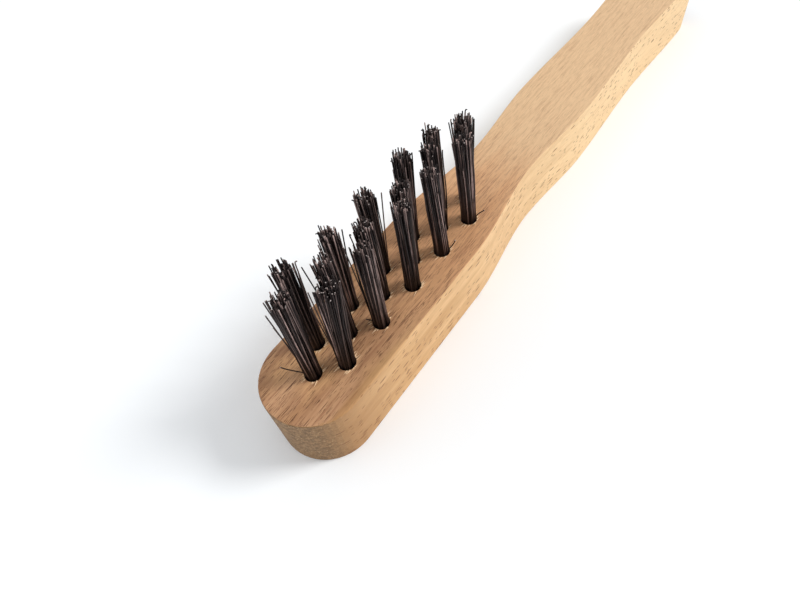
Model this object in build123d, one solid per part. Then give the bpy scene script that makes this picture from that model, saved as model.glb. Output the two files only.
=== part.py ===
"""Hand wire brush with a waisted beech handle and sixteen tufts of straight steel wire.

The handle is one piece of beech, flat on both faces and of one thickness, with a round toe, a neck
behind the head, a swelling grip and a round end with a hanging hole. The head holds three staggered
rows of tufts: five, six and five. Each tuft is a bundle of wires folded in two, modelled as one solid
of the bundle's outer shape. A flat steel staple sits in the fold and is driven into the bottom of a
drilled hole, where its ends bite the wood.

Frame: origin at the centre of the flat back that the brush lies on, +X from the toe to the hanging
end, +Z from the back to the wire tips. Millimetres.
"""

from build123d import *
from math import tan, radians
import os

# ---- Handle ----
LENGTH = 212.0
THICKNESS = 18.7
HEAD_WIDTH = 23.5
NECK_WIDTH = 17.0
SWELL_WIDTH = 21.0
WAIST_WIDTH = 19.0
BUTT_WIDTH = 22.0
HEAD_END = 58.0  # this and the next three are distances from the tip of the toe
NECK = 90.0
SWELL = 120.0
WAIST = 160.0
EDGE_ROUND = 0.4
HANG_HOLE = 6.0
HANG_HOLE_ROUND = 0.6
CUT_PAST = 1.0  # how far the drills run past a face
NEAR_ZERO = 1e-6

# ---- Tuft layout ----
FIRST_TUFT = 12.0  # from the tip of the toe to the first hole of the middle row
PITCH = 12.0
ROW_SPACING = 4.4
TUFTS = {"left": 5, "middle": 6, "right": 5}

# ---- Holes and staples ----
HOLE = 4.0
HOLE_DEPTH = 13.0  # to where the drill point begins
DRILL_POINT_ANGLE = 118.0
STAPLE_THICKNESS = 0.4
STAPLE_HEIGHT = 2.2
STAPLE_WIDTH = 4.6  # wider than the hole, so that both ends bite

# ---- Tufts ----
BUNDLE = 3.8  # across the packed wires where they stand in the hole
TRIM = 25.5  # from the face to the cut ends of the longest wires
KNEE = 1.5  # height above the face where the wires start to spread

# How far the middle of each tuft's tips stands off its hole along X and Y, from the toe to the neck.
LEANS = {
    "left": [(0.5, 1.5), (-0.5, 0), (-1, 0), (0.5, 0.5), (-2, -0.5)],
    "middle": [(1, 1.5), (-0.5, 0.5), (-1.5, -0.5), (-1.5, -0.5), (-1, 1), (-1.5, 0)],
    "right": [(1.5, 0.5), (0, 0.5), (0.5, 0.5), (-0.5, 1.5), (-0.5, 1)],
}

# How wide each tuft is at its tips, in the same order. They are spread unevenly.
TIP_WIDTHS = {
    "left": [4.6, 4.4, 4.8, 4.4, 3.8],
    "middle": [4.8, 4.2, 4.2, 4.4, 3.8, 5.4],
    "right": [4.8, 4.2, 4.0, 3.8, 4.4],
}

FOLD_Z = THICKNESS - HOLE_DEPTH + BUNDLE / 2  # the height that the wires fold about
STANDING = (Align.CENTER, Align.CENTER, Align.MIN)
HANGING = (Align.CENTER, Align.CENTER, Align.MAX)


def tuft_x(row, index):
    """X of a tuft's hole. The outer rows stand half a pitch behind the middle one."""
    offset = 0.0 if row == "middle" else PITCH / 2
    return FIRST_TUFT + offset + index * PITCH - LENGTH / 2


def tuft_y(row):
    return {"left": ROW_SPACING, "middle": 0.0, "right": -ROW_SPACING}[row]


def swerve(start, end):
    """A curve between two places on the outline that runs along X at both of them."""
    third = (end[0] - start[0]) / 3
    return Bezier(start, (start[0] + third, start[1]), (end[0] - third, end[1]), end)


def outline():
    """The handle seen from above: two mirrored sides between a round toe and a round end."""
    head, butt = HEAD_WIDTH / 2, BUTT_WIDTH / 2
    toe_x, end_x = -LENGTH / 2, LENGTH / 2
    side = [
        (toe_x + HEAD_END, head),
        (toe_x + NECK, NECK_WIDTH / 2),
        (toe_x + SWELL, SWELL_WIDTH / 2),
        (toe_x + WAIST, WAIST_WIDTH / 2),
        (end_x - butt, butt),
    ]
    edges = [
        ThreePointArc((toe_x + head, -head), (toe_x, 0), (toe_x + head, head)),
        ThreePointArc((end_x - butt, butt), (end_x, 0), (end_x - butt, -butt)),
    ]
    for sign in (1, -1):
        points = [(x, sign * y) for x, y in side]
        edges.append(Line((toe_x + head, sign * head), points[0]))
        edges += [swerve(a, b) for a, b in zip(points, points[1:])]
    return make_face(edges)


def tuft_hole(x, y):
    """The drilled hole of one tuft, with the cone that the drill's point leaves."""
    bottom = THICKNESS - HOLE_DEPTH
    cone = HOLE / 2 / tan(radians(DRILL_POINT_ANGLE / 2))
    drill = Cylinder(HOLE / 2, HOLE_DEPTH + CUT_PAST, align=STANDING)
    point = Cone(0, HOLE / 2, cone, align=HANGING)
    return Pos(x, y, bottom) * drill + Pos(x, y, bottom) * point


def staple(x, y):
    """The flat steel plate across the hole that holds the fold down."""
    plate = Box(STAPLE_THICKNESS, STAPLE_WIDTH, STAPLE_HEIGHT, align=STANDING)
    return Pos(x, y, FOLD_Z) * plate


def is_level(edge):
    return edge.bounding_box().size.Z < NEAR_ZERO


def is_hang_hole_rim(edge):
    return abs(edge.radius - HANG_HOLE / 2) < NEAR_ZERO


def handle(places):
    """The beech handle with its tuft holes, the bites of the staples and the hanging hole."""
    body = extrude(outline(), THICKNESS)
    body = fillet(body.edges().filter_by(is_level), EDGE_ROUND)
    hang_x = (LENGTH - BUTT_WIDTH) / 2
    body -= Pos(hang_x, 0, THICKNESS / 2) * Cylinder(HANG_HOLE / 2, THICKNESS)
    circles = body.edges().filter_by(GeomType.CIRCLE)
    body = fillet(circles.filter_by(is_hang_hole_rim), HANG_HOLE_ROUND)
    for x, y in places:
        body -= tuft_hole(x, y)
        body -= staple(x, y)
    return body


def tuft(x, y, lean, tip_width):
    """One bundle of wires: a rounded fold, a straight shank in the hole and a spread that may lean."""
    knee_z = THICKNESS + KNEE
    fold = Pos(x, y, FOLD_Z) * Sphere(BUNDLE / 2)
    shank = Pos(x, y, FOLD_Z) * Cylinder(BUNDLE / 2, knee_z - FOLD_Z, align=STANDING)
    root = Pos(x, y, knee_z) * Circle(BUNDLE / 2)
    tips = Pos(x + lean[0], y + lean[1], THICKNESS + TRIM) * Circle(tip_width / 2)
    return fold + shank + loft([root, tips]) - staple(x, y)


def main():
    os.makedirs("parts", exist_ok=True)
    tufts = [(row, index) for row, count in TUFTS.items() for index in range(count)]
    places = {(row, index): (tuft_x(row, index), tuft_y(row)) for row, index in tufts}
    export_step(handle(places.values()), "parts/handle.step")
    for (row, index), (x, y) in places.items():
        name = f"{row}_{index + 1}"
        bundle = tuft(x, y, LEANS[row][index], TIP_WIDTHS[row][index])
        export_step(bundle, f"parts/tuft_{name}.step")
        export_step(staple(x, y), f"parts/staple_{name}.step")


main()
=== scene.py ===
"""The looks of a hand wire brush: a beech handle, and sixteen tufts of separate steel wires.

The handle and the staples are the frame's own nodes with new materials. Each tuft node is replaced by
a mesh of its wires, folded in two under their staple. Lengths here are in metres.
"""

import math
import random

import bmesh
import bpy
from mathutils import Matrix, Vector


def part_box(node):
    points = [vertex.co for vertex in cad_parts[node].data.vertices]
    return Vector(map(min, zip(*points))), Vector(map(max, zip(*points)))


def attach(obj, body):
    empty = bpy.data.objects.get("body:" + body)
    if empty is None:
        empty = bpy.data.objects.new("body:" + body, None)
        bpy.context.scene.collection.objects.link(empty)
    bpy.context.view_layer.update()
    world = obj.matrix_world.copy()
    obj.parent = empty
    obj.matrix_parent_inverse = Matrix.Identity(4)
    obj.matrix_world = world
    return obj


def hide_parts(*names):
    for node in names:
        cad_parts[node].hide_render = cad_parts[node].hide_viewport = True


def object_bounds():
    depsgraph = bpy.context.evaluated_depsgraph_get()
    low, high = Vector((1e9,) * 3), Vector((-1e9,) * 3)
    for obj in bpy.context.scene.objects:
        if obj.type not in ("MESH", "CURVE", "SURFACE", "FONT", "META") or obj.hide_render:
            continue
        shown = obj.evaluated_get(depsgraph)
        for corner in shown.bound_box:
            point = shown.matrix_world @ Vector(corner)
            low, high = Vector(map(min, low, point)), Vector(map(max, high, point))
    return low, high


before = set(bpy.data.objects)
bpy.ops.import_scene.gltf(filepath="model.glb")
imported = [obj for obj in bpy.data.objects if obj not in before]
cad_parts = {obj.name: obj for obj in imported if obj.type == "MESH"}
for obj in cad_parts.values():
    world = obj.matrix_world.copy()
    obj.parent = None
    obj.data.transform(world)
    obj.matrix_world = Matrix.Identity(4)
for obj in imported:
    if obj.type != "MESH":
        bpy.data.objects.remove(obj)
CAD_LOW, CAD_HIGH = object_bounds()

MM = 0.001
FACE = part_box("handle")[1].z  # height of the face that the tufts stand on
TOE = CAD_LOW.x
TIPS = CAD_HIGH.z

# ---- Tufts ----
ROWS = {"left": 5, "middle": 6, "right": 5}
TUFTS = [f"{row}_{index + 1}" for row, count in ROWS.items() for index in range(count)]

# ---- Wires ----
WIRE = 0.28 * MM
LAYER = 0.29 * MM  # from one wire to the next, where they are packed in the hole
FIRST_REACH = 0.345 * MM  # from the staple's middle to the first leg
PACKING_RADIUS = 1.76 * MM  # the furthest that a wire's middle stands from the hole's middle
WIRE_SIDES = 6
FOLD_STEPS = 6
LEG_STEPS = 10
TRIM_DROP = (0.05, 1.9)  # millimetres: how far the cut ends lie below the tips of the CAD tufts
SHORT_WIRES = 0.12  # share of the legs that are cut well below the others
LOOSE_WIRES = 0.025  # share of the legs that stand clear of their tuft
BENT_TIPS = 0.16  # share of the legs whose end is bent over
GLINTING_TIPS = 0.2  # share of the cut ends that get a painted glint
FAINT_GLINT = 0.05  # how strong the painted glint is on the other cut ends; on the glinting ones it is 1
DARKNESS = 5  # power that makes most of the wires dark and a few of them light
SHORT_BY = (0.4, 2.6)  # millimetres
LOOSE_BY = (0.5, 1.6)  # millimetres
SPREAD = (0.9, 1.1)  # how much a leg leans out, against the rest of its tuft
FLARE = 1.15  # power of the height: above 1, the legs bend outwards towards their tips
BENT = ((0.75, 0), (0.35, 0.12), (0.2, 0.5))  # millimetres down from the cut end and to the side
TUFT_TWIST = 0.2  # radians: how far the tufts are turned, as a standard deviation
WIRE_TWIST = 0.14  # the same for each leg within its tuft
SCATTER = 0.19 * MM  # how far the cut ends wander sideways, as a standard deviation
BOW = 0.12 * MM  # how far the legs bow at half height, as a standard deviation
SEED = 24

# ---- Wires that have sprung out ----
SPRUNG = Vector((0.585, -0.811, 0))  # the way that counts as across
BESIDE = Vector((-SPRUNG.y, SPRUNG.x, 0))  # the way that their roots stand in a row
ROOT_GAP = 1.3 * WIRE
STRAY_RIM = 0.9 * PACKING_RADIUS  # from the middle of the hole, where they leave it
STRAY_DEPTH = 2 * MM  # how far down the hole they start
STRAY_SHADE = 0.12
# By tuft, in millimetres: how far across from the middle of the hole, how far up, and how much they curl.
STRAYS = {
    "middle_1": [(-6.2, 3.2, -0.6), (-3.8, 21.5, 0.6), (-3.7, 17, 0.8), (-3.4, 24.5, 0.6)],
    "left_1": [(-3.5, 24.5, 0.6)],
    "left_2": [(-3.4, 5.5, 0.5)],
    "right_1": [(-2.4, 25.2, 0.5), (-3.2, 20, 0.6)],
    "right_2": [(-3.2, 1.4, 0.4), (-3.8, 25, 0.5)],
    "right_4": [(3.3, 3.4, -0.9)],
    "right_5": [(3.8, 2.6, 0.8)],
}

# ---- Wood ----
HOLE = 4.0 * MM
SPLINTERS = (14, 24)  # fewest and most at one hole
SPLINTER_LENGTH = (0.4 * MM, 1.9 * MM)
SPLINTER_WIDTH = (0.16 * MM, 0.4 * MM)
SPLINTER_LIFT = 0.12  # rise of the free end, as a share of the length
PALE_FROM, PALE_TO = 24 * MM, 138 * MM  # from the toe: where the wood turns paler
ROSY_FROM, ROSY_TO = 78 * MM, 120 * MM  # from the toe: where the rosy stretch of the face fades out
DARK_FROM, DARK_TO = 6 * MM, 30 * MM  # from the toe: where the darker stretch of side by the toe ends, partly painted shade and partly end grain
SAP_FROM, SAP_TO = 18 * MM, 44 * MM  # from the toe: where the sapwood along the right edge fades out

# ---- Camera ----
AIM = Vector((37 * MM, -4.4 * MM))  # from the toe, on the tufted face
AZIMUTH, ELEVATION, ROLL = -45.6, 53.9, -10.2  # degrees
DISTANCE = 126.3 * MM
LENS, SENSOR = 25.2, 36.0

# ---- Studio ----
SKY = 0.68  # brightness of the white surround overhead; it is 1 at the horizon
HAZE_TOP = 0.35  # sine of the height where the surround is down to SKY
FLOOR_SIZE = 40.0
FLOOR_COLOUR = (0.91, 0.94, 0.97, 1)
SUNS = {
    "key": {
        "towards": (0.74, -0.67),
        "height": 40,
        "softness": 20,
        "power": 1.9,
        "colour": (1, 0.99, 0.97),
    },
    "fill": {
        "towards": (-0.5, 0.86),
        "height": 50,
        "softness": 50,
        "power": 0.3,
        "colour": (1, 1, 1),
    },
}


# ---------------------------------------------------------------- node helpers


class Nodes:
    """A material's node tree, with short ways to add and join nodes."""

    def __init__(self, name):
        self.material = bpy.data.materials.new(name)
        self.material.use_nodes = True
        self.tree = self.material.node_tree
        self.shader = self.tree.nodes["Principled BSDF"]
        self.position = self.add("ShaderNodeTexCoord").outputs["Object"]

    def add(self, kind, **settings):
        node = self.tree.nodes.new(kind)
        for key, value in settings.items():
            setattr(node, key, value)
        return node

    def join(self, source, target):
        self.tree.links.new(source, target)

    def stretched(self, scale, offset=(0, 0, 0)):
        """The object's position, scaled along each axis."""
        node = self.add("ShaderNodeMapping")
        node.inputs["Scale"].default_value = scale
        node.inputs["Location"].default_value = offset
        self.join(self.position, node.inputs["Vector"])
        return node.outputs["Vector"]

    def noise(self, scale, offset=(0, 0, 0), detail=4.0, roughness=0.55, distortion=0.0):
        node = self.add("ShaderNodeTexNoise")
        node.inputs["Scale"].default_value = 1.0
        node.inputs["Detail"].default_value = detail
        node.inputs["Roughness"].default_value = roughness
        node.inputs["Distortion"].default_value = distortion
        self.join(self.stretched(scale, offset), node.inputs["Vector"])
        return node.outputs["Fac"]

    def ramp(self, value, low, high):
        """Value taken smoothly from 0 at low to 1 at high."""
        node = self.add("ShaderNodeMapRange", interpolation_type="SMOOTHSTEP")
        node.inputs["From Min"].default_value = low
        node.inputs["From Max"].default_value = high
        self.join(value, node.inputs["Value"])
        return node.outputs["Result"]

    def split(self, vector):
        """The X, Y and Z of a vector, as sockets."""
        node = self.add("ShaderNodeSeparateXYZ")
        self.join(vector, node.inputs["Vector"])
        return node.outputs

    def math(self, operation, *values):
        """One step of arithmetic on up to three values. Each is a socket or a number."""
        node = self.add("ShaderNodeMath", operation=operation)
        for socket, value in zip(node.inputs, values):
            if isinstance(value, (int, float)):
                socket.default_value = value
            else:
                self.join(value, socket)
        return node.outputs["Value"]

    def mix(self, amount, a, b, blend="MIX"):
        """Colour a turned towards colour b. A colour is a socket or three numbers."""
        node = self.add("ShaderNodeMix", data_type="RGBA", blend_type=blend)
        colour_a, colour_b = [s for s in node.inputs if s.type == "RGBA"]
        for socket, value in ((node.inputs[0], amount), (colour_a, a), (colour_b, b)):
            if isinstance(value, (int, float)):
                socket.default_value = value
            elif isinstance(value, tuple):
                socket.default_value = (*value, 1.0)
            else:
                self.join(value, socket)
        return [s for s in node.outputs if s.type == "RGBA"][0]

    def bump(self, height, distance, strength=1.0):
        node = self.add("ShaderNodeBump")
        node.inputs["Distance"].default_value = distance
        node.inputs["Strength"].default_value = strength
        self.join(height, node.inputs["Height"])
        self.join(node.outputs["Normal"], self.shader.inputs["Normal"])


def srgb(red, green, blue):
    """An sRGB colour, 0 to 255, as the linear numbers that shaders take."""

    def linear(value):
        value /= 255
        return value / 12.92 if value <= 0.04045 else ((value + 0.055) / 1.055) ** 2.4

    return (linear(red), linear(green), linear(blue))


# ---------------------------------------------------------------- materials


def dashes(nodes, scale, offset, share, size):
    """Separate short dashes, one in a share of the cells of a stretched pattern.

    size is about half the length of a dash, in cells.
    """
    cells = nodes.add("ShaderNodeTexVoronoi")
    cells.inputs["Scale"].default_value = 1.0
    nodes.join(nodes.stretched(scale, offset), cells.inputs["Vector"])
    parts = nodes.add("ShaderNodeSeparateColor")
    nodes.join(cells.outputs["Color"], parts.inputs["Color"])
    chosen = nodes.math("LESS_THAN", parts.outputs["Red"], share)
    reach = nodes.math("MULTIPLY", nodes.math("ADD", parts.outputs["Green"], 0.5), size)
    inside = nodes.math("SUBTRACT", 1.0, nodes.math("DIVIDE", cells.outputs["Distance"], reach))
    return nodes.math("MULTIPLY", nodes.ramp(inside, 0.0, 0.45), chosen)


def flecks(nodes, scale, offset, threshold):
    """Short dashes: the tops of a stretched noise."""
    return nodes.ramp(nodes.noise(scale, offset, detail=1.5), threshold, threshold + 0.06)


def beech():
    """Sanded beech: a rosy face, yellow sides with ray flecks, and mottled grain on the two ends. The
    sides are lighter than the face partly by painted light; the ends and the side by the toe are darker
    partly by painted shade.

    The grain runs along X. A pattern's scale is about its repeats to the metre along X, Y and Z.
    """
    nodes = Nodes("beech")
    normal = nodes.split(nodes.add("ShaderNodeNewGeometry").outputs["True Normal"])
    level = nodes.ramp(nodes.math("ABSOLUTE", normal["Z"]), 0.55, 0.85)
    end_on = nodes.ramp(nodes.math("ABSOLUTE", normal["X"]), 0.2, 0.85)

    broad = nodes.noise((28, 210, 210), detail=3)
    streaks = nodes.noise((90, 1500, 1500), (3, 0, 0), detail=5, roughness=0.6, distortion=0.3)
    fine = nodes.noise((320, 4400, 4400), (7, 0, 0), detail=3)
    blotches = nodes.noise((70, 120, 120), (11, 0, 0), detail=3)

    # The wood pales from the head to the grip, along a wandering front.
    place = nodes.split(nodes.position)
    front = nodes.math("ADD", place["X"], nodes.math("MULTIPLY", broad, 30 * MM))
    pale = nodes.ramp(front, TOE + PALE_FROM, TOE + PALE_TO)

    face = nodes.mix(nodes.ramp(broad, 0.3, 0.7), srgb(154, 111, 77), srgb(190, 147, 110))
    face = nodes.mix(nodes.ramp(blotches, 0.48, 0.75), face, srgb(204, 158, 112))
    face = nodes.mix(pale, face, srgb(216, 181, 141))
    rosy = nodes.ramp(front, TOE + ROSY_TO, TOE + ROSY_FROM)
    rosy = nodes.math("MULTIPLY", rosy, nodes.ramp(front, TOE + PALE_FROM, TOE + ROSY_FROM))
    face = nodes.mix(nodes.math("MULTIPLY", rosy, 0.6), face, srgb(208, 150, 104))
    strength = nodes.math("SUBTRACT", 0.7, nodes.math("MULTIPLY", pale, 0.4))
    streaked = nodes.math("MULTIPLY", nodes.ramp(streaks, 0.46, 0.7), strength)
    face = nodes.mix(streaked, face, srgb(146, 100, 72))
    short_pores = flecks(nodes, (420, 6600, 6600), (5, 2, 0), 0.6)
    long_pores = dashes(nodes, (190, 3400, 0), (5, 2, 0.5), 0.4, 0.3)
    pores = nodes.math("MAXIMUM", long_pores, short_pores)
    strength = nodes.math("SUBTRACT", 0.8, nodes.math("MULTIPLY", pale, 0.6))
    pored = nodes.math("MULTIPLY", pores, strength)
    face = nodes.mix(pored, face, srgb(78, 44, 29))

    # Painted light, in part: the sides are lighter than the face, both by their own yellower wood and by
    # painted light from the lamp that falls on them.
    side = nodes.mix(nodes.ramp(broad, 0.3, 0.7), srgb(198, 154, 105), srgb(222, 181, 132))
    paled = nodes.math("MULTIPLY", nodes.math("POWER", pale, 1.6), 0.66)
    side = nodes.mix(paled, side, srgb(244, 214, 168))
    streaked = nodes.math("MULTIPLY", nodes.ramp(streaks, 0.5, 0.75), 0.4)
    side = nodes.mix(streaked, side, srgb(184, 134, 86))
    # Painted shade, partly the darker end grain running round: the side darkens towards the toe, where it
    # turns away from the lamp.
    near_toe = nodes.ramp(place["X"], TOE + DARK_TO, TOE + DARK_FROM)
    side = nodes.mix(nodes.math("MULTIPLY", near_toe, 0.85), side, srgb(162, 119, 76))
    # The sapwood on the face takes this side colour, including its painted light and the painted shade by
    # the toe.
    sap = side
    long_rays = dashes(nodes, (230, 0, 1300), (1, 8.5, 4), 0.3, 0.32)
    short_rays = dashes(nodes, (420, 0, 1700), (4, 2.5, 7), 0.3, 0.28)
    rays = nodes.math("MAXIMUM", long_rays, short_rays)
    side = nodes.mix(nodes.math("MULTIPLY", rays, 0.85), side, srgb(118, 70, 38))

    # The ends are dark partly by their own end grain and partly by painted shade, as the toe faces away
    # from the lamp.
    mottle = nodes.noise((1100, 900, 1300), (2, 2, 9), detail=6, roughness=0.75)
    end = nodes.mix(nodes.ramp(mottle, 0.35, 0.65), srgb(106, 78, 47), srgb(155, 120, 81))
    glints = flecks(nodes, (2600, 2600, 1400), (6, 1, 3), 0.62)
    end = nodes.mix(nodes.math("MULTIPLY", glints, 0.3), end, srgb(220, 188, 140))

    # Yellower sapwood runs along the right edge of the face by the toe.
    edge = nodes.math("ADD", place["Y"], nodes.math("MULTIPLY", broad, 4 * MM))
    sapwood = nodes.ramp(edge, CAD_LOW.y + 5.2 * MM, CAD_LOW.y + 1.6 * MM)
    at_head = nodes.ramp(place["X"], TOE + SAP_TO, TOE + SAP_FROM)
    sapwood = nodes.math("MULTIPLY", sapwood, nodes.math("MULTIPLY", at_head, 0.85))
    face = nodes.mix(sapwood, face, sap)

    around = nodes.mix(end_on, side, end)
    colour = nodes.mix(level, around, face)
    tone = nodes.math("MULTIPLY_ADD", fine, 0.4, 0.8)
    grey = nodes.add("ShaderNodeCombineColor")
    for channel in grey.inputs:
        nodes.join(tone, channel)
    colour = nodes.mix(1.0, colour, grey.outputs["Color"], blend="MULTIPLY")
    nodes.join(colour, nodes.shader.inputs["Base Color"])

    rough = nodes.math("MULTIPLY_ADD", streaks, 0.2, 0.5)
    nodes.join(rough, nodes.shader.inputs["Roughness"])
    nodes.shader.inputs["Specular IOR Level"].default_value = 0.3
    sunk = nodes.math("MULTIPLY", nodes.math("MAXIMUM", nodes.math("MULTIPLY", pores, level), rays), 0.5)
    nodes.bump(nodes.math("SUBTRACT", fine, sunk), 0.05 * MM, 0.45)
    return nodes.material


def wire_steel():
    """Dark drawn wire: brown-black with a thin sheen, grime that changes along it, and painted shade that
    darkens it towards the handle's face.
    """
    nodes = Nodes("dark_wire")
    per_wire = nodes.add("ShaderNodeAttribute", attribute_name="shade").outputs["Fac"]
    tone = nodes.mix(per_wire, srgb(22, 12, 13), srgb(190, 164, 158))
    grime = nodes.noise((900, 900, 260), detail=3)
    tone = nodes.mix(nodes.math("MULTIPLY", nodes.ramp(grime, 0.45, 0.7), 0.6), tone, srgb(22, 12, 12))
    # Painted shade: the wires darken towards the handle's face, where they stand deep among the others
    # and down in the hole.
    painted_root_shade = nodes.ramp(nodes.split(nodes.position)["Z"], FACE + 7 * MM, FACE)
    tone = nodes.mix(nodes.math("MULTIPLY", painted_root_shade, 0.8), tone, srgb(24, 9, 9))
    # Painted glint: the cut ends of some wires are painted bright.
    tip_glint = nodes.add("ShaderNodeAttribute", attribute_name="tip_glint").outputs["Fac"]
    colour = nodes.mix(tip_glint, tone, srgb(186, 174, 170))
    nodes.join(colour, nodes.shader.inputs["Base Color"])
    nodes.shader.inputs["Metallic"].default_value = 0.65
    rough = nodes.math("MULTIPLY_ADD", grime, 0.2, 0.34)
    nodes.join(rough, nodes.shader.inputs["Roughness"])
    nodes.bump(nodes.noise((3000, 3000, 500), detail=2), 0.01 * MM, 0.4)
    return nodes.material


def staple_steel():
    """Bright rolled strip with fine lines along it."""
    nodes = Nodes("strip_steel")
    lines = nodes.noise((9000, 400, 9000), detail=3)
    colour = nodes.mix(lines, srgb(110, 108, 104), srgb(168, 166, 160))
    nodes.join(colour, nodes.shader.inputs["Base Color"])
    nodes.shader.inputs["Metallic"].default_value = 1.0
    nodes.join(nodes.ramp(lines, -0.6, 1.6), nodes.shader.inputs["Roughness"])
    nodes.bump(lines, 0.01 * MM, 0.4)
    return nodes.material


def frayed_wood():
    """Torn pale fibres."""
    nodes = Nodes("frayed_beech")
    tone = nodes.noise((900, 5000, 5000), detail=3)
    colour = nodes.mix(tone, srgb(206, 164, 122), srgb(246, 218, 180))
    nodes.join(colour, nodes.shader.inputs["Base Color"])
    nodes.shader.inputs["Roughness"].default_value = 0.8
    nodes.bump(tone, 0.03 * MM, 0.5)
    return nodes.material


def paper():
    """The plain pale floor."""
    nodes = Nodes("floor")
    nodes.shader.inputs["Base Color"].default_value = FLOOR_COLOUR
    nodes.shader.inputs["Roughness"].default_value = 0.9
    nodes.shader.inputs["Specular IOR Level"].default_value = 0.1
    return nodes.material


# ---------------------------------------------------------------- wires


def wire_places():
    """Half the gap between the legs of each folded wire, and its place along the staple."""
    rows = int(PACKING_RADIUS / LAYER)
    places = []
    for step in range(-rows, rows + 1):
        row = step * LAYER
        reach = FIRST_REACH
        while math.hypot(reach, row) <= PACKING_RADIUS:
            places.append((reach, row))
            reach += LAYER
    return places


def smooth(value):
    """Value eased from 0 to 1."""
    value = min(max(value, 0.0), 1.0)
    return value * value * (3 - 2 * value)


def scatter(draw, spread):
    """A random step sideways."""
    return Vector((draw.gauss(0, spread), draw.gauss(0, spread), 0))


def foot_of(name):
    """The middle of the staple's lower edge, which the wires of a tuft are folded about."""
    low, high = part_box(f"staple_{name}")
    return Vector(((low.x + high.x) / 2, (low.y + high.y) / 2, low.z))


def leg_points(foot, side, reach, row, draw, top, shape):
    """The middle of one leg, from its fold to its cut tip. draw is the tuft's own random numbers."""
    start = foot + Vector((side * reach, row, 0))
    outward = Vector((side * reach, row, 0))
    turned = Matrix.Rotation(shape["twist"] + draw.gauss(0, WIRE_TWIST), 3, "Z") @ outward
    out = turned * shape["spread"] * draw.uniform(*SPREAD) - outward + shape["lean"]
    out += scatter(draw, SCATTER)
    bow = scatter(draw, BOW)
    if draw.random() < LOOSE_WIRES:
        out += outward.normalized() * draw.uniform(*LOOSE_BY) * MM
    points = []
    for step in range(LEG_STEPS + 1):
        along = step / LEG_STEPS
        z = start.z + (top - start.z) * along
        above = max(0.0, (z - FACE) / (top - FACE))
        place = start + out * above ** FLARE + bow * math.sin(math.pi * smooth(above))
        points.append(Vector((place.x, place.y, z)))
    if draw.random() < BENT_TIPS:
        end = points.pop()
        way = scatter(draw, 1).normalized()
        for drop, aside in BENT:
            points.append(end + (way * aside - Vector((0, 0, drop))) * MM)
    return points


def tube(mesh, points, shade, tip_glints, layers):
    """A closed tube along points. The fourth argument gives the painted glint on each of its two cut
    ends.
    """
    shade_layer, glint_layer = layers
    rings = []
    up = Vector((0, 1, 0))
    for index, point in enumerate(points):
        before, after = points[max(index - 1, 0)], points[min(index + 1, len(points) - 1)]
        forward = (after - before).normalized()
        across = forward.cross(up).normalized()
        other = across.cross(forward)
        ring = []
        for side in range(WIRE_SIDES):
            turn = 2 * math.pi * side / WIRE_SIDES
            place = point + (across * math.cos(turn) + other * math.sin(turn)) * WIRE / 2
            vertex = mesh.verts.new(place)
            vertex[shade_layer] = shade
            ring.append(vertex)
        rings.append(ring)
    for low, high in zip(rings, rings[1:]):
        for side in range(WIRE_SIDES):
            after = (side + 1) % WIRE_SIDES
            face = mesh.faces.new((low[side], low[after], high[after], high[side]))
            face.smooth = True
    for ring, tip_glint in zip((list(reversed(rings[0])), rings[-1]), tip_glints):
        mesh.faces.new(ring)[glint_layer] = tip_glint


def tuft(name):
    """Every wire of one tuft, each folded in two under the staple that the frame places."""
    draw = random.Random(f"{SEED}{name}")
    foot = foot_of(name)
    mesh = bmesh.new()
    layers = [mesh.verts.layers.float.new("shade"), mesh.faces.layers.float.new("tip_glint")]
    shape = tips_of(name, foot)
    shape["twist"] = draw.gauss(0, TUFT_TWIST)
    for reach, row in wire_places():
        legs = []
        for side in (-1, 1):
            top = TIPS - draw.uniform(*TRIM_DROP) * MM
            if draw.random() < SHORT_WIRES:
                top -= draw.uniform(*SHORT_BY) * MM
            legs.append(leg_points(foot, side, reach, row, draw, top, shape))
        fold = []
        for step in range(1, FOLD_STEPS):
            turn = math.pi * step / FOLD_STEPS
            fold.append(foot + Vector((-reach * math.cos(turn), row, -reach * math.sin(turn))))
        points = list(reversed(legs[0])) + fold + legs[1]
        # Painted glint on the cut ends: a few get it in full, the rest faintly.
        tip_glints = [1.0 if draw.random() < GLINTING_TIPS else FAINT_GLINT for _ in legs]
        tube(mesh, points, draw.random() ** DARKNESS, tip_glints, layers)
    for index, (across, rise, curl) in enumerate(STRAYS.get(name, [])):
        root = foot + BESIDE * index * ROOT_GAP
        path = stray_points(root, across * MM, rise * MM, curl * MM)
        # The stray's cut tip gets the full painted glint.
        tube(mesh, path, STRAY_SHADE, (FAINT_GLINT, 1.0), layers)
    return finish_mesh(mesh, f"wires_{name}")


def curve_points(a, b, c, d, steps):
    """Places along a Bezier curve from a to d."""
    points = []
    for step in range(steps + 1):
        t = step / steps
        weights = ((1 - t) ** 3, 3 * t * (1 - t) ** 2, 3 * t * t * (1 - t), t ** 3)
        points.append(sum((p * w for p, w in zip((a, b, c, d), weights)), Vector()))
    return points


def stray_points(foot, across, rise, curl):
    """A wire that has sprung out of its tuft at the face and ends across and up from it."""
    way = SPRUNG * math.copysign(1, across)
    rim = Vector((foot.x, foot.y, FACE)) + way * STRAY_RIM
    deep = rim - Vector((0, 0, STRAY_DEPTH))
    tip = Vector((foot.x, foot.y, FACE + rise)) + way * abs(across)
    middle = (rim + tip) / 2 + Vector((0, 0, curl))
    return [deep] + curve_points(rim, rim + Vector((0, 0, 0.9 * MM)), middle, tip, LEG_STEPS)


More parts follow.
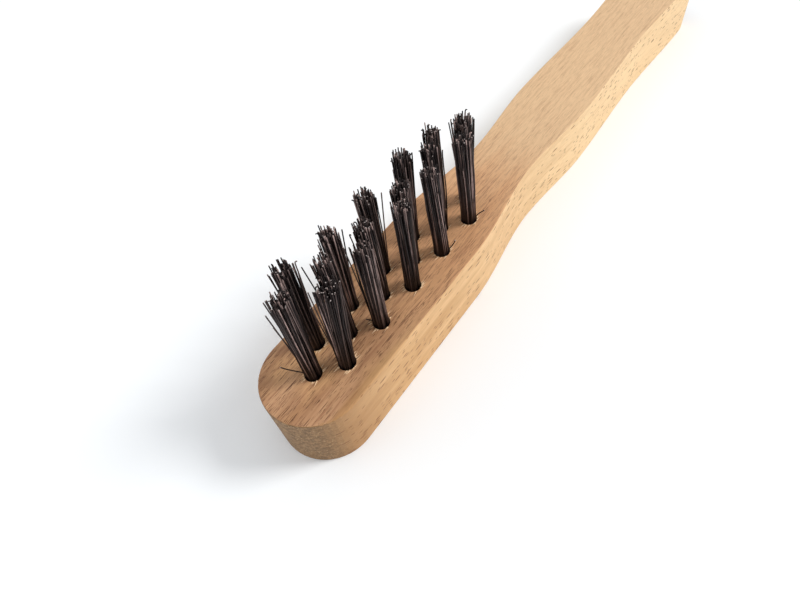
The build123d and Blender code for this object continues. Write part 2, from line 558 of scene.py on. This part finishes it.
def splinter(mesh, root, way, length, width):
    """A thin lifted fibre of wood, wide at its root and pointed at its end."""
    across = Vector((-way.y, way.x, 0)) * width / 2
    lift = Vector((0, 0, 1))
    tip = root + way * length + lift * length * SPLINTER_LIFT
    raised = root + lift * width * 0.45
    base = [root - across, root + across, raised + across * 0.5, raised - across * 0.5]
    corners = [mesh.verts.new(p) for p in base]
    point = mesh.verts.new(tip)
    mesh.faces.new(reversed(corners))
    for index in range(4):
        mesh.faces.new((corners[index], corners[(index + 1) % 4], point))


def make_splinters():
    """Frayed fibres that the drill has lifted at the rims of the holes, mostly along the grain."""
    draw = random.Random(SEED)
    mesh = bmesh.new()
    for name in TUFTS:
        foot = foot_of(name)
        centre = Vector((foot.x, foot.y, FACE - 0.02 * MM))
        for _ in range(draw.randint(*SPLINTERS)):
            turn = draw.uniform(0, 2 * math.pi)
            rim = Vector((math.cos(turn), math.sin(turn), 0))
            grain = Vector((math.copysign(1, rim.x), draw.uniform(-0.2, 0.2), 0))
            way = (rim * 0.3 + grain).normalized()
            root = centre + rim * (HOLE / 2 + 0.03 * MM)
            splinter(mesh, root, way, draw.uniform(*SPLINTER_LENGTH), draw.uniform(*SPLINTER_WIDTH))
    piece = finish_mesh(mesh, "rim_splinters")
    piece.data.materials.append(frayed_wood())
    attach(piece, "root")


def finish_mesh(mesh, name):
    bmesh.ops.recalc_face_normals(mesh, faces=mesh.faces)
    data = bpy.data.meshes.new(name)
    mesh.to_mesh(data)
    mesh.free()
    piece = bpy.data.objects.new(name, data)
    bpy.context.scene.collection.objects.link(piece)
    return piece


def tips_of(name, foot):
    """How far the tips' middle stands off the hole, and how much wider than the hole the tips spread."""
    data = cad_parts[f"tuft_{name}"].data
    top = [v.co for v in data.vertices if v.co.z > TIPS - 0.1 * MM]
    left, right = min(c.x for c in top), max(c.x for c in top)
    near, far = min(c.y for c in top), max(c.y for c in top)
    lean = Vector(((left + right) / 2 - foot.x, (near + far) / 2 - foot.y, 0))
    return {"lean": lean, "spread": (right - left - WIRE) / 2 / PACKING_RADIUS}


def make_tufts():
    metal = wire_steel()
    for name in TUFTS:
        piece = tuft(name)
        piece.data.materials.append(metal)
        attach(piece, "root")
        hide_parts(f"tuft_{name}")


def dress_frame():
    """New materials on the nodes that keep their CAD shape."""
    wood, strip = beech(), staple_steel()
    for name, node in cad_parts.items():
        if name == "handle":
            node.data.materials[0] = wood
        elif name.startswith("staple_"):
            node.data.materials[0] = strip


# ---------------------------------------------------------------- studio


def make_camera():
    data = bpy.data.cameras.new("camera")
    data.lens, data.sensor_width = LENS, SENSOR
    data.clip_start = 5 * MM
    camera = bpy.data.objects.new("camera", data)
    bpy.context.scene.collection.objects.link(camera)
    azimuth, elevation, roll = (math.radians(a) for a in (AZIMUTH, ELEVATION, ROLL))
    away = Vector((math.sin(azimuth), -math.cos(azimuth), 0))
    back = away * math.cos(elevation) + Vector((0, 0, math.sin(elevation)))
    level = Vector((math.cos(azimuth), math.sin(azimuth), 0))
    upward = back.cross(level)
    right = level * math.cos(roll) + upward * math.sin(roll)
    up = upward * math.cos(roll) - level * math.sin(roll)
    aim = Vector((TOE + AIM.x, AIM.y, FACE))
    turn = Matrix((right, up, back)).transposed().to_4x4()
    camera.matrix_world = Matrix.Translation(aim + back * DISTANCE) @ turn
    bpy.context.scene.camera = camera


def sun(name, towards, height, softness, power, colour):
    """A soft even light. towards is where it stands, seen from above. height and softness are degrees."""
    data = bpy.data.lights.new(name, "SUN")
    data.angle, data.energy, data.color = math.radians(softness), power, colour
    light = bpy.data.objects.new(name, data)
    direction = Vector((*Vector(towards).normalized(), math.tan(math.radians(height))))
    light.rotation_mode = "QUATERNION"
    light.rotation_quaternion = direction.to_track_quat("Z", "Y")
    bpy.context.scene.collection.objects.link(light)


def make_floor():
    bpy.ops.mesh.primitive_plane_add(size=FLOOR_SIZE)
    floor = bpy.context.object
    floor.name = "floor"
    floor.data.materials.append(paper())


def make_world():
    """A white surround that darkens a little overhead, so that it meets the floor without a line."""
    world = bpy.data.worlds.new("world")
    world.use_nodes = True
    tree = world.node_tree
    direction = tree.nodes.new("ShaderNodeSeparateXYZ")
    tree.links.new(tree.nodes.new("ShaderNodeTexCoord").outputs["Generated"], direction.inputs["Vector"])
    strength = tree.nodes.new("ShaderNodeMapRange")
    strength.inputs["From Max"].default_value = HAZE_TOP
    strength.inputs["To Min"].default_value = 1.0
    strength.inputs["To Max"].default_value = SKY
    tree.links.new(direction.outputs["Z"], strength.inputs["Value"])
    background = tree.nodes["Background"]
    background.inputs["Color"].default_value = (1, 1, 1, 1)
    tree.links.new(strength.outputs["Result"], background.inputs["Strength"])
    bpy.context.scene.world = world


def make_lights():
    for name, settings in SUNS.items():
        sun(name, **settings)


dress_frame()
make_tufts()
make_splinters()
make_floor()
make_world()
make_lights()
make_camera()
bpy.context.scene.view_settings.view_transform = "Standard"  # the factory's AgX greys the wood
